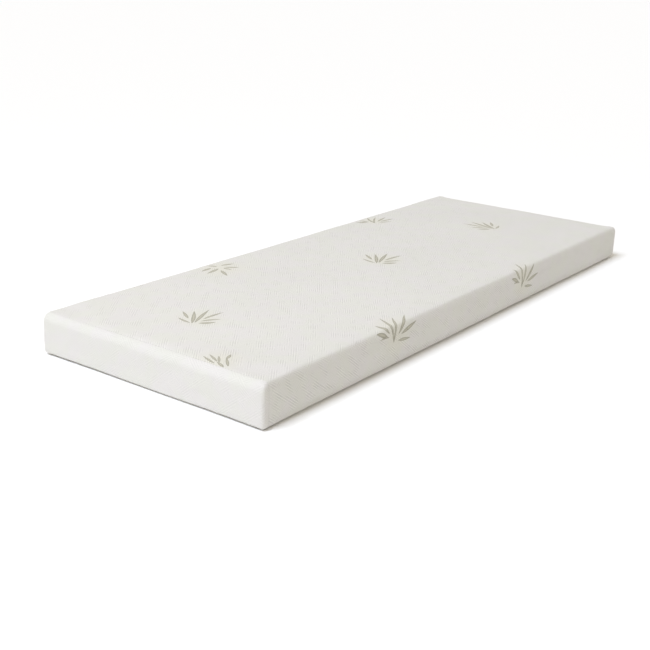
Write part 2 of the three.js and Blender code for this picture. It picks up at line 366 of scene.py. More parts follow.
def make_leaf_yarn():
    """The same knit where coloured yarn comes to the front: paler along the middle of each leaf."""
    shading = Shading("leaf_yarn", 0.85, sheen=0.1)
    uv, pads, stitch = knit_relief(shading)
    floats = shading.noise(uv, 420, 2, (1, 3.2, 1))
    amount = shading.ramp(floats, 0.25, 0.75, 0.86, 1.14)
    # Painted shade between the rows of stitches.
    painted_stitch_shade = shading.times_plus(stitch, 0.1, 1.0)
    colour = shading.mix(shading.attribute("leaf_middle"), LEAF_COLOUR, LEAF_COLOUR_2)
    shading.colour(colour, shading.times(amount, painted_stitch_shade))
    height = shading.times_plus(stitch, 0.35, shading.times(pads, 0.4))
    shading.bump(height, LEAF_BUMP, 0.8)


def make_weave(name, colour, pitch, depth, sheen=0.05):
    """A plain weave or fine warp knit, from the piece's own coordinates."""
    shading = Shading(name, 0.85, sheen=sheen)
    place = shading.object_place()
    split = shading.node("ShaderNodeSeparateXYZ")
    shading.put(place, split.inputs[0])
    x, y, z = split.outputs
    across = shading.math("ADD", y, z)
    warp = shading.math("SINE", shading.times(x, 2 * math.pi / pitch))
    weft = shading.math("SINE", shading.times(across, 2 * math.pi / pitch))
    weave = shading.times(warp, weft)
    fleck = shading.noise(place, 400, 2)
    # The colour is a little darker where the weave lies low: painted shade between the threads, along with
    # the yarn's own flecks.
    amount = shading.times_plus(weave, 0.05, shading.ramp(fleck, 0.3, 0.7, 0.95, 1.05))
    shading.colour(colour, amount)
    shading.bump(weave, depth, 0.7)


def make_foam(name, colour, cell):
    """Open foam: a skin of small round cells, with a few larger ones."""
    shading = Shading(name, 0.97)
    place = shading.object_place()
    heights = []
    for scale in (1 / cell, 0.31 / cell):
        cells = shading.node("ShaderNodeTexVoronoi")
        shading.put(place, cells.inputs["Vector"])
        cells.inputs["Scale"].default_value = scale
        heights.append(shading.ramp(cells.outputs["Distance"], 0.0, 0.55))
    height = shading.times_plus(heights[1], 0.4, heights[0])
    patch = shading.ramp(shading.noise(place, 5, 3), 0.3, 0.7, 0.96, 1.03)
    # Darker down in the cells: painted shade in their hollows, over the foam's own patchy tone.
    amount = shading.times(patch, shading.ramp(height, 0.1, 0.9, 0.82, 1.02))
    shading.colour(colour, amount)
    shading.bump(height, 0.5 * cell, 0.7)


def make_thread():
    shading = Shading("thread", 0.6, sheen=0.1)
    place = shading.object_place()
    twist = shading.noise(place, 2600, 1)
    shading.colour(THREAD_COLOUR, shading.ramp(twist, 0.3, 0.7, 0.85, 1.08))
    shading.bump(twist, 0.00008, 0.6)


def make_coil():
    shading = Shading("zip_coil", 0.38)
    shading.shader.inputs["Subsurface Weight"].default_value = 0.15
    shading.shader.inputs["Subsurface Radius"].default_value = (0.001, 0.001, 0.001)
    place = shading.object_place()
    cloudy = shading.ramp(shading.noise(place, 150, 2), 0.3, 0.7, 0.96, 1.03)
    shading.colour(ZIP_COLOUR, cloudy)
    shading.bump(shading.noise(place, 3000, 1), 0.00003, 0.4)


def make_metal():
    """Nickel-plated zinc: fine casting grain, and duller where fingers rub it."""
    shading = Shading("zip_metal", 0.3, metallic=1)
    place = shading.object_place()
    rubbed = shading.noise(place, 260, 3)
    shading.colour(METAL_COLOUR, shading.ramp(rubbed, 0.3, 0.7, 0.92, 1.03))
    shading.roughness(shading.ramp(rubbed, 0.3, 0.7, 0.24, 0.42))
    shading.bump(shading.noise(place, 2200, 2), 0.00002, 0.5)


def make_satin():
    shading = Shading("label_satin", 0.42, sheen=0.3)
    place = shading.object_place()
    ribs = shading.noise(place, 300, 1, (1, 1, 14))
    shading.colour(SATIN_COLOUR, shading.ramp(ribs, 0.3, 0.7, 0.94, 1.03))
    shading.bump(ribs, 0.00006, 0.6)


# ---------------------------------------------------------------- the mattress's shape


def rounded_crossing(a, b, reach_a, reach_b):
    """Signed distance to two faces that meet at a quarter ellipse, from the distance to each."""
    p = np.maximum(a / reach_a + 1, 0)
    q = np.maximum(b / reach_b + 1, 0)
    across = np.hypot(p, q)
    slope = np.hypot(p / reach_a, q / reach_b)
    at_edge = (across - 1) * across / np.maximum(slope, 1e-9)
    return np.where((p > 0) & (q > 0), at_edge, np.maximum(a, b))


def edge_stations(low, high, near, step):
    """Values from low to high: at the distances in near from each end, and about step apart between."""
    first = low + near[-1]
    last = high - near[-1]
    inner = np.linspace(first, last, max(2, round((last - first) / step) + 1))
    close = np.array(near[:-1])
    return np.concatenate([low + close, inner, (high - close)[::-1]])


EDGE_BLEND = 0.012  # over which a side's edge turns into an end's, at a corner


class Block:
    """A block with rounded upright corners, and a rounded edge round its top and its underside.

    side_edge and end_edge hold how far the top's edge reaches inwards and down, and bottom_edge how far
    the edge round the underside reaches inwards and up.
    """

    def __init__(self, half, low, high, corner, side_edge, end_edge, bottom_edge):
        self.half = np.array(half)
        self.low = low
        self.high = high
        self.corner = corner
        self.side_edge = np.array(side_edge)
        self.end_edge = np.array(end_edge)
        self.bottom_edge = np.array(bottom_edge)

    def drawn_in(self, side, flat, low=None, high=None):
        """The block inside this one, or the slice of it between two heights."""
        cut = (0.001, 0.001)
        less = (side, flat)
        side_edge = self.side_edge - less if high is None else cut
        end_edge = self.end_edge - less if high is None else cut
        bottom_edge = self.bottom_edge - less if low is None else cut
        low = self.low + flat if low is None else low
        high = self.high - flat if high is None else high
        corner = self.corner - side
        return Block(self.half - side, low, high, corner, side_edge, end_edge, bottom_edge)

    def distance(self, points):
        """Signed distance of points from the surface, positive outside."""
        beyond = np.abs(points[:, :2]) - (self.half - self.corner)
        plan = np.linalg.norm(np.maximum(beyond, 0), axis=1)
        plan += np.minimum(beyond.max(axis=1), 0) - self.corner
        at_end = np.clip(0.5 + (beyond[:, 0] - beyond[:, 1]) / (2 * EDGE_BLEND), 0, 1)
        inward, downward = (a + (b - a) * at_end for a, b in zip(self.side_edge, self.end_edge))
        top = rounded_crossing(plan, points[:, 2] - self.high, inward, downward)
        bottom = rounded_crossing(plan, self.low - points[:, 2], *self.bottom_edge)
        return np.maximum(top, bottom)

    def gradient(self, points):
        step = 1e-5
        parts = []
        for axis in range(3):
            offset = np.zeros(3)
            offset[axis] = step
            parts.append((self.distance(points + offset) - self.distance(points - offset)) / (2 * step))
        return np.stack(parts, axis=1)

    def onto(self, points, keep_x=None):
        """Points moved onto the surface, each in its own plane of constant x where keep_x is true."""
        points = points.copy()
        for _ in range(8):
            slope = self.gradient(points)
            if keep_x is not None:
                slope[keep_x, 0] = 0
            length = np.maximum((slope**2).sum(axis=1), 0.05)
            points -= slope * (self.distance(points) / length)[:, None]
        return points

    def normal(self, points):
        slope = self.gradient(points)
        return slope / np.maximum(np.linalg.norm(slope, axis=1), 1e-9)[:, None]

    def grid(self, near, step):
        """A closed skin of quads: its points and faces."""
        lines = [edge_stations(-half, half, near, step) for half in self.half]
        rise = (self.high - self.low) / 2
        close = [value for value in near if value < 0.8 * rise]
        lines.append(edge_stations(self.low, self.high, close, step))
        counts = [len(line) - 1 for line in lines]
        index = {}
        points = []

        def point(at):
            if at not in index:
                index[at] = len(points)
                points.append([line[i] for line, i in zip(lines, at)])
            return index[at]

        faces = []
        for axis in range(3):
            a, b = [other for other in range(3) if other != axis]
            for end in (0, counts[axis]):
                for i in range(counts[a]):
                    for j in range(counts[b]):
                        ring = []
                        for step_a, step_b in ((0, 0), (1, 0), (1, 1), (0, 1)):
                            at = [0, 0, 0]
                            at[axis] = end
                            at[a] = i + step_a
                            at[b] = j + step_b
                            ring.append(point(tuple(at)))
                        outward = (end > 0) != (axis == 1)
                        faces.append(ring if outward else ring[::-1])
        return self.onto(np.array(points)), faces


COVER = Block(
    half=(HALF_LENGTH, HALF_WIDTH),
    low=0,
    high=HEIGHT,
    corner=CORNER,
    side_edge=(SIDE_EDGE_IN, SIDE_EDGE_DOWN),
    end_edge=(END_EDGE, END_EDGE),
    bottom_edge=(BOTTOM_EDGE_IN, BOTTOM_EDGE_UP),
)

# ---------------------------------------------------------------- making pieces


def add_mesh(name, slot, vertices, faces, node=None, uv=None, values=None, leaves=None):
    """A smooth-shaded piece from arrays, with cloth coordinates per vertex as its UV map.

    slot is the record's material slot, and node the CAD node that the piece stands for. values holds
    named numbers per vertex, which a material can read, and leaves says which faces are leaf yarn.
    """
    piece = add_plain_mesh(name, vertices, faces)
    mesh = piece.data
    mesh.materials.append(MATERIALS[slot])
    if uv is not None:
        layer = mesh.uv_layers.new(name="cloth")
        corner_vertex = np.empty(len(mesh.loops), int)
        mesh.loops.foreach_get("vertex_index", corner_vertex)
        layer.data.foreach_set("uv", np.asarray(uv, float)[corner_vertex].ravel())
    for value_name, per_vertex in (values or {}).items():
        attribute = mesh.attributes.new(value_name, "FLOAT", "POINT")
        attribute.data.foreach_set("value", np.asarray(per_vertex, float))
    if leaves is not None:
        mesh.materials.append(MATERIALS["leaf_yarn"])
        mesh.polygons.foreach_set("material_index", np.asarray(leaves, np.int32))
    mesh.shade_smooth()
    mesh.update()
    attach(piece, BODY)
    if node is not None:
        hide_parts(node)
    return piece


def quads_of(index):
    """The quads between the points of a grid, from the grid of their numbers."""
    corners = [index[:-1, :-1], index[:-1, 1:], index[1:, 1:], index[1:, :-1]]
    return np.stack(corners, axis=-1)


def apply_modifiers(piece):
    graph = bpy.context.evaluated_depsgraph_get()
    mesh = bpy.data.meshes.new_from_object(piece.evaluated_get(graph), depsgraph=graph)
    old = piece.data
    piece.modifiers.clear()
    piece.data = mesh
    bpy.data.meshes.remove(old)


def thicken(piece, thickness):
    """Gives a sheet its thickness, inwards from its outer face."""
    set_up(piece.modifiers.new("thickness", "SOLIDIFY"), thickness=thickness, offset=-1)
    apply_modifiers(piece)


def tube_mesh(path, sides, radius):
    """Vertices and faces of a round tube along a path, closed at both ends. radius: one or one a point."""
    path = np.asarray(path, float)
    along = np.gradient(path, axis=0)
    along /= np.linalg.norm(along, axis=1)[:, None]
    steady = np.array([0.31, 0.83, 0.46])
    side = np.cross(along, steady)
    side /= np.linalg.norm(side, axis=1)[:, None]
    up = np.cross(side, along)
    turn = np.arange(sides) * 2 * math.pi / sides
    radius = np.broadcast_to(radius, (len(path),))[:, None, None]
    ring = side[:, None] * np.cos(turn)[None, :, None] + up[:, None] * np.sin(turn)[None, :, None]
    vertices = (path[:, None] + radius * ring).reshape(-1, 3)
    index = np.arange(len(vertices)).reshape(len(path), sides)
    after = np.roll(index, -1, axis=1)
    quads = np.stack([index[:-1], after[:-1], after[1:], index[1:]], axis=-1).reshape(-1, 4)
    return vertices, quads.tolist() + [index[0][::-1].tolist(), index[-1].tolist()]


def joined(parts):
    """One mesh's vertices and faces from several."""
    vertices = []
    faces = []
    count = 0
    for part_vertices, part_faces in parts:
        vertices.append(part_vertices)
        faces += [[corner + count for corner in face] for face in part_faces]
        count += len(part_vertices)
    return np.concatenate(vertices), faces


def add_stitches(name, starts, ends, outwards, radius=0.00022, rise=0.0003, node=None):
    """A short arched length of thread from each start to each end, sunk into the cloth at both."""
    steps = np.array([0, 0.12, 0.35, 0.65, 0.88, 1])
    lift = rise * np.sin(math.pi * steps) - 0.0003 * (1 - np.sin(math.pi * steps)) ** 4
    parts = []
    for start, end, outward in zip(starts, ends, np.broadcast_to(outwards, starts.shape)):
        path = start + (end - start) * steps[:, None] + outward * lift[:, None]
        parts.append(tube_mesh(path, 6, radius))
    add_mesh(name, "thread", *joined(parts), node)


# ---------------------------------------------------------------- cloth that settles over the foam

SEAM_REACH = 0.03  # how far from a seam the cloth is drawn in
SETTLE_CAP = 0.0022  # the furthest that cloth moves from the plain shape
SETTLE_LINES = (0, 0.008, 0.016)  # how far the first lines of the simulated skin lie from its edges
SETTLE_STEP = 0.017  # and from each other after that
SETTLE_FRAMES = 12
ZIP_HELD = 0.015  # how far from the zip the cloth stays where it is
ZIP_EASING = 0.03  # over which it then comes free


class Settled:
    """Where the cloth of the cover lies, as a movement away from the plain shape."""

    def __init__(self):
        self.rest, self.faces = COVER.grid(SETTLE_LINES, SETTLE_STEP)
        moved = self.simulate()
        move = moved - self.rest
        length = np.linalg.norm(move, axis=1)
        move *= (SETTLE_CAP * np.tanh(length / SETTLE_CAP) / np.maximum(length, 1e-9))[:, None]
        self.move = move
        self.tree = BVHTree.FromPolygons([Vector(p) for p in self.rest], self.faces)

    def simulate(self):
        skin = add_plain_mesh("settling", self.rest, self.faces)
        drawn = skin.vertex_groups.new(name="drawn")
        for i, point in enumerate(self.rest):
            to_seam = abs(abs(point[0]) - SEAM_X)
            if to_seam < SEAM_REACH:
                drawn.add([i], 1 - to_seam / SEAM_REACH, "REPLACE")
        cloth = skin.modifiers.new("cloth", "CLOTH")
        set_up(
            cloth.settings,
            quality=5,
            mass=0.3,
            tension_stiffness=15,
            compression_stiffness=15,
            shear_stiffness=5,
            bending_stiffness=0.5,
            use_pressure=True,
            uniform_pressure_force=0.6,
            vertex_group_shrink="drawn",
            shrink_min=0.0,
            shrink_max=0.03,
        )
        cloth.settings.effector_weights.gravity = 0
        scene = bpy.context.scene
        for number in range(SETTLE_FRAMES):
            scene.frame_set(number + 1)
        graph = bpy.context.evaluated_depsgraph_get()
        made = skin.evaluated_get(graph).data
        moved = np.array([v.co[:] for v in made.vertices])
        bpy.data.objects.remove(skin)
        scene.frame_set(1)
        return moved

    def at(self, points):
        """The movement at each of some points on the plain shape."""
        out = np.zeros_like(points)
        for i, point in enumerate(points):
            place, _, face, _ = self.tree.find_nearest(Vector(point))
            corners = self.faces[face]
            distance = np.linalg.norm(self.rest[corners] - np.array(place), axis=1)
            weight = 1 / np.maximum(distance, 1e-5) ** 2
            out[i] = (self.move[corners] * weight[:, None]).sum(axis=0) / weight.sum()
        return out


def pucker(points, to_seam, wave=0.021, depth=0.0006, reach=0.022):
    """Small gathers that run away from a seam, as heights above the surface."""
    out = np.zeros(len(points))
    for i in np.flatnonzero(to_seam < 3 * reach):
        x, y, z = points[i]
        along = noise.noise(Vector((y / wave, z / wave + 0.4 * x / wave, 3.7 * np.sign(x))))
        out[i] = depth * along * math.exp(-((to_seam[i] / reach) ** 2))
    return out


def unevenness(points, wave=0.17, depth=0.0011):
    """The slow rise and fall of cloth over foam that was cut by a wire, as heights."""
    return depth * np.array([noise.noise(Vector(p) / wave + Vector((5.2, 1.7, 8.1))) for p in points])


FLOOR_GAP = 0.0005  # the motifs underneath stand 0.3 mm proud


def settle(points, settled):
    """Points of the plain shape moved to where the cloth lies, and the way out at each."""
    normals = COVER.normal(points)
    move = settled.at(points)
    from_zip = np.hypot(points[:, 1] - HALF_WIDTH, points[:, 2] - ZIP_Z)
    free = np.clip((from_zip - ZIP_HELD) / ZIP_EASING, 0, 1)
    to_seam = np.abs(np.abs(points[:, 0]) - SEAM_X)
    lift = pucker(points, to_seam) + unevenness(points)
    out = points + (move + normals * lift[:, None]) * free[:, None]
    out[:, 2] = np.maximum(out[:, 2], FLOOR_GAP)
    return out, normals


# ---------------------------------------------------------------- plant motifs, knitted into the wrap

# The drawings. Each leaf: its tip's angle from the motif's axis in degrees and distance from the
# motif's foot, the same for its root, how far its middle bows to the left, and its width.
FAN = (
    (-77, 0.075, -68, 0.018, 0.0, 0.0062),
    (-57, 0.112, -50, 0.036, 0.0, 0.0072),
    (-38, 0.110, -36, 0.026, 0.001, 0.0066),
    (-17, 0.089, -4, 0.008, 0.005, 0.0060),
    (3, 0.097, 18, 0.003, 0.008, 0.0064),
    (42, 0.077, 44, 0.030, 0.003, 0.0078),
    (77, 0.077, 66, 0.030, -0.002, 0.0095),
    (88, 0.060, 60, 0.025, -0.003, 0.0036),
    (12, 0.034, 12, 0.0, 0.001, 0.0058),
)
SPRAY = (
    (-54, 0.061, -38, 0.018, -0.002, 0.0092),
    (-42, 0.081, -22, 0.030, 0.004, 0.0066),
    (-20, 0.122, -14, 0.046, 0.002, 0.0062),
    (0, 0.120, -7, 0.014, 0.001, 0.0076),
    (18, 0.103, 22, 0.007, -0.002, 0.0078),
    (34, 0.102, 32, 0.045, 0.0, 0.0066),
    (54, 0.062, 38, 0.012, 0.002, 0.0056),
)
TUFT = (
    (75, 0.085, 79, 0.034, 0.001, 0.0046),
    (64, 0.086, 64, 0.038, 0.0, 0.0050),
    (51, 0.070, 60, 0.032, 0.0, 0.0048),
    (30, 0.080, 34, 0.050, 0.0, 0.0064),
    (36, 0.058, -10, 0.012, 0.0, 0.0056),
    (102, 0.048, 87, 0.034, 0.0, 0.0050),
    (65, 0.039, 42, 0.006, 0.0, 0.0058),
)
BURST = (
    (101, 0.038, 97, 0.009, 0.0, 0.0060),
    (170, 0.055, 147, 0.022, 0.0, 0.0064),
    (192, 0.061, 200, 0.011, 0.001, 0.0066),
    (235, 0.071, 225, 0.025, 0.0, 0.0066),
    (276, 0.033, 276, 0.008, 0.0, 0.0055),
    (313, 0.045, 320, 0.010, 0.0, 0.0060),
    (356, 0.046, 37, 0.015, 0.001, 0.0064),
)
# Each motif: its drawing, u and v of its foot, the turn of its axis from +u towards -v, its size, and
# -1 where the drawing is mirrored.
TOP_MOTIFS = (
    (FAN, -0.4585, 0.3917, 73, 1.02, 1),
    (FAN, 0.2314, 0.4070, 70, 0.98, 1),
    (SPRAY, -0.7781, -0.0160, 22, 1.0, 1),
    (TUFT, -0.9374, 0.2290, 0, 1.0, 1),
    (BURST, -0.3656, -0.2948, 0, 1.22, 1),
    (SPRAY, -0.0293, 0.0153, 19, 1.06, 1),
    (SPRAY, 0.5989, 0.0714, 72, 1.02, -1),
    (FAN, 0.3909, -0.2745, 50, 0.86, 1),
)
ZIP_SIDE_MOTIFS = (
    (SPRAY, -0.64, -0.409, -84, 0.62, 1),
    (FAN, 0.04, -0.409, -97, 0.6, 1),
    (SPRAY, 0.71, -0.409, -90, 0.62, -1),
)
UNDERSIDE_ROWS = ((0.575, -0.59, 25), (0.745, -0.21, 205), (0.915, -0.78, 100), (1.075, -0.40, -60))
UNDERSIDE_STEP = 0.76
UNDERSIDE_SIZE = 0.92
UNDERSIDE_MARGIN = 0.12  # at the head end
TOP_HALF_GIRTH = HALF_WIDTH + 0.004  # |v| in the middle of the top's edge
LEAF_FULLNESS = 1.3  # width of every leaf, to its width in the drawings
GLOW_REACH = 0.075  # how far the creamier ground of a motif reaches from its middle


def all_motifs():
    motifs = list(TOP_MOTIFS + ZIP_SIDE_MOTIFS)
    for v, first, turn in UNDERSIDE_ROWS:
        for number in range(3):
            u = first + number * UNDERSIDE_STEP
            if u < HALF_LENGTH - UNDERSIDE_MARGIN:
                drawing = SPRAY if number % 2 else FAN
                motifs.append((drawing, u, v, turn + 17 * number, UNDERSIDE_SIZE, 1))
    return motifs


def leaf_outline(motif, leaf):
    """One leaf's outline and its middle line, in cloth coordinates, and how full it is along that."""
    _, u, v, turn, size, hand = motif
    tip_angle, tip_reach, root_angle, root_reach, bow, width = leaf

    def place(reach, degrees):
        way = math.radians(turn + hand * degrees)
        return reach * size * np.array([math.cos(way), -math.sin(way)])

    root = place(root_reach, root_angle)
    tip = place(tip_reach, tip_angle)
    left = np.array([tip[1] - root[1], root[0] - tip[0]]) / np.linalg.norm(tip - root)
    control = (root + tip) / 2 + 2 * bow * size * hand * left
    s = np.linspace(0, 1, 10)[:, None]
    middle = (1 - s) ** 2 * root + 2 * s * (1 - s) * control + s**2 * tip
    along = np.gradient(middle, axis=0)
    side = np.stack([-along[:, 1], along[:, 0]], axis=1) / np.linalg.norm(along, axis=1)[:, None]
    half = 0.5 * LEAF_FULLNESS * width * size * np.sin(math.pi * s**0.85)
    outline = np.concatenate([middle - side * half, (middle + side * half)[-2:0:-1]])
    return outline + (u, v), middle[1:-1] + (u, v), (half / half.max())[1:-1, 0]


def clipped(outline, least_u):
    """The part of an outline whose u is at least least_u."""
    kept = []
    for a, b in zip(outline, np.roll(outline, -1, axis=0)):
        if a[0] >= least_u:
            kept.append(a)
        if (a[0] >= least_u) != (b[0] >= least_u):
            share = (least_u - a[0]) / (b[0] - a[0])
            kept.append(a + share * (b - a))
    return np.array(kept)


def rib_strengths(uv):
    """How deep each of the knit's two families of furrows is, and so how darkly they are painted: on the
    sides one is weaker and the other stronger, painted shade that stands in for grazing light.
    """
    side_with_painted_shade = np.clip((np.abs(uv[:, 1]) - TOP_HALF_GIRTH) / 0.02 + 0.5, 0, 1)
    return {"ribs": 1 - 0.5 * side_with_painted_shade, "cross_ribs": 0.45 + 0.75 * side_with_painted_shade}


def glow(uv, motifs):
    """How much of the paler ground there is at each of some cloth coordinates, from 0 to 1."""
    out = np.zeros(len(uv))
    for motif in motifs:
        drawing, size = motif[0], motif[4]
        middle = np.mean([leaf_outline(motif, leaf)[1].mean(axis=0) for leaf in drawing], axis=0)
        distance = np.linalg.norm(uv - middle, axis=1) / (GLOW_REACH * size)
        out = np.maximum(out, np.clip(1.25 - 1.25 * distance, 0, 1))
    return out


# ---------------------------------------------------------------- cover: wrap

FOLD = 0.0009  # radius with which cloth turns in at a seam or a zip
SEAM_HALF_GAP = 0.0002
CLOTH_THICKNESS = 0.0012
EDGE_STATIONS = (-0.0008, 0, 0.0002, 0.0005, 0.0008, 0.0012, 0.0026, 0.0034, 0.006, 0.011)
ZIP_HALF_OPENING = 0.0050
ZIP_PUSH = 0.022  # how far from the zip the cloth is still pushed aside
TOPSTITCH_FROM_EDGE = 0.0026
TOPSTITCH_SUNK = 0.0004
CURVE_PIECES = 9  # lines in each curved stretch of the outline


def fold_depth(from_edge):
    """How far cloth lies below the surface at a distance from the edge that it turns in at."""
    inside = np.clip(FOLD - np.maximum(from_edge, 0), 0, FOLD)
    return FOLD - np.sqrt(FOLD**2 - inside**2) + np.maximum(-from_edge, 0)


def stitched_depth(from_edge):
    """The small channel that a row of topstitching pulls down along a folded edge."""
    return TOPSTITCH_SUNK * np.exp(-(((from_edge - TOPSTITCH_FROM_EDGE) / 0.0009) ** 2))


def girth_line():
    """The mattress's outline at mid-length, as v with y and z, from zip to zip over the top."""
    quarter = np.linspace(0, math.pi / 2, 25)
    into = 1 - np.cos(quarter)
    off = 1 - np.sin(quarter)
    near_top = np.stack([HALF_WIDTH - SIDE_EDGE_IN * into, HEIGHT - SIDE_EDGE_DOWN * off], axis=1)
    near_floor = np.stack([BOTTOM_EDGE_IN * into - HALF_WIDTH, BOTTOM_EDGE_UP * off], axis=1)
    mirrored = np.array([-1, 1])
    edges = [near_top, near_top[::-1] * mirrored, near_floor, near_floor[::-1] * mirrored]
    zip_line = np.array([[HALF_WIDTH, ZIP_Z]])
    points = np.concatenate([zip_line, *edges, zip_line])
    v = np.concatenate([[0], np.cumsum(np.linalg.norm(np.diff(points, axis=0), axis=1))])
    v -= (v[25] + v[26]) / 2
    curved = [(v[25 * edge + 1], v[25 * edge + 25]) for edge in range(4)]
    return v, points, curved


GIRTH_V, GIRTH_POINTS, CURVED_STRETCHES = girth_line()
GIRTH_LOW = GIRTH_V[0]
GIRTH_HIGH = GIRTH_V[-1]


def stations(low, high, step, finer=()):
    """Values from low to high: close together at both ends and in the finer stretches."""
    middle = edge_stations(low, high, EDGE_STATIONS, step)
    for start, end in finer:
        outside = (middle < start - step / 3) | (middle > end + step / 3)
        middle = np.concatenate([middle[outside], np.linspace(start, end, CURVE_PIECES + 1)])
    return np.sort(middle)


def zip_half_opening(x):
    """Half the height of the slot that the zip lies in: it closes to a seam past the zip's ends."""
    past = np.clip((np.abs(x) - (ZIP_HALF_LENGTH - 0.012)) / 0.014, 0, 1)
    eased = past * past * (3 - 2 * past)
    return ZIP_HALF_OPENING * (1 - eased) + SEAM_HALF_GAP * eased


WRAP_END = SEAM_X - SEAM_HALF_GAP
WRAP_STEP = 0.012


class WrapGrid:
    """The wrap as a grid over its cloth coordinates."""

    def __init__(self, settled):
        self.u = stations(-WRAP_END, WRAP_END, WRAP_STEP)
        self.v = stations(GIRTH_LOW, GIRTH_HIGH, WRAP_STEP, CURVED_STRETCHES)
        self.shape = (len(self.u), len(self.v))
        flat_u, flat_v = (part.ravel() for part in np.meshgrid(self.u, self.v, indexing="ij"))

        opening = zip_half_opening(flat_u)
        from_upper = flat_v - GIRTH_LOW
        from_lower = GIRTH_HIGH - flat_v
        shift = opening * np.clip(1 - np.maximum(from_upper, 0) / ZIP_PUSH, 0, 1)
        shift -= opening * np.clip(1 - np.maximum(from_lower, 0) / ZIP_PUSH, 0, 1)
        y = np.interp(flat_v + shift, GIRTH_V, GIRTH_POINTS[:, 0])
        z = np.interp(flat_v + shift, GIRTH_V, GIRTH_POINTS[:, 1])
        along = np.clip(flat_u, -WRAP_END, WRAP_END)
        plain = COVER.onto(np.stack([along, y, z], axis=1), np.ones(len(y), bool))
        placed, normals = settle(plain, settled)
        from_end = WRAP_END - np.abs(flat_u)
        from_zip = np.minimum(from_upper, from_lower)
        depth = np.maximum(fold_depth(from_end), fold_depth(from_zip)) + stitched_depth(from_zip)
        placed -= normals * depth[:, None]
        self.uv = np.stack([flat_u, flat_v], axis=1)
        self.placed = placed.reshape(*self.shape, 3)
        self.normals = normals.reshape(*self.shape, 3)

    def blend(self, values, uv):
        """Values given on the grid, at some cloth coordinates between its lines."""
        i = np.clip(np.searchsorted(self.u, uv[:, 0]) - 1, 0, len(self.u) - 2)
        j = np.clip(np.searchsorted(self.v, uv[:, 1]) - 1, 0, len(self.v) - 2)
        a = ((uv[:, 0] - self.u[i]) / (self.u[i + 1] - self.u[i]))[:, None]
        b = ((uv[:, 1] - self.v[j]) / (self.v[j + 1] - self.v[j]))[:, None]
        low = values[i, j] * (1 - b) + values[i, j + 1] * b
        high = values[i + 1, j] * (1 - b) + values[i + 1, j + 1] * b
        return low * (1 - a) + high * a


LEAF_RISE = 0.0003
MILLI = 1000.0


class Inlay:
    """One motif: the grid cells that it covers, filled again with triangles that follow its leaves."""

    def __init__(self, grid, motif):
        least_u = -WRAP_END + FOLD
        outlines = []
        ribs = []
        rises = []
        half_widths = []
        for leaf in motif[0]:
            outline, rib, rise = leaf_outline(motif, leaf)
            outline = clipped(outline, least_u)
            inside = rib[:, 0] > least_u + 0.0004
            if len(outline) > 2:
                outlines.append(outline)
                ribs.append(rib[inside])
                rises.append(rise[inside])
                half_widths.append(0.5 * LEAF_FULLNESS * leaf[-1] * motif[4])
        drawn = np.concatenate(outlines)
        self.i0 = max(np.searchsorted(grid.u, drawn[:, 0].min()) - 1, 0)
        self.i1 = min(np.searchsorted(grid.u, drawn[:, 0].max()) + 1, len(grid.u) - 1)
        self.j0 = np.searchsorted(grid.v, drawn[:, 1].min()) - 1
        self.j1 = np.searchsorted(grid.v, drawn[:, 1].max()) + 1

        index = np.arange(grid.shape[0] * grid.shape[1]).reshape(grid.shape)
        own = index[self.i0 : self.i1 + 1, self.j0 : self.j1 + 1].ravel()
        places = [grid.uv[own]]
        faces = []
        count = len(own)
        for outline in outlines:
            faces.append(list(range(count, count + len(outline))))
            places.append(outline)
            count += len(outline)
        first_rib = count
        edges = []
        self.own = own
        self.own_rise = np.zeros(len(own))
        for rib, rise, half_width in zip(ribs, rises, half_widths):
            edges += [(count + n, count + n + 1) for n in range(len(rib) - 1)]
            count += len(rib)
            away = np.linalg.norm(places[0][:, None] - rib, axis=2) / half_width
            self.own_rise = np.maximum(self.own_rise, (rise - away).max(axis=1, initial=0))
        places.append(np.concatenate(ribs))
        rise = np.concatenate([np.zeros(first_rib), *rises])
        given = [Vector(place * MILLI) for place in np.concatenate(places)]
        made, _, triangles, sources, _, covers = delaunay_2d_cdt(given, edges, faces, 0, 1e-4)

        start = grid.shape[0] * grid.shape[1]
        self.uv = []
        self.rise = []
        numbers = []
        for place, source in zip(made, sources):
            on_grid = [s for s in source if s < len(own)]
            if on_grid:
                numbers.append(own[on_grid[0]])
                continue
            numbers.append(-len(self.uv) - 1)
            self.uv.append((place.x / MILLI, place.y / MILLI))
            self.rise.append(max([rise[s] for s in source], default=0))
        self.start = start
        self.numbers = numbers
        self.triangles = triangles
        self.is_leaf = [bool(cover) for cover in covers]

    def faces(self, first_new):
        """Its triangles, once its new vertices are numbered from first_new."""
        numbers = [n if n >= 0 else first_new - n - 1 for n in self.numbers]
        return [[numbers[corner] for corner in triangle] for triangle in self.triangles]


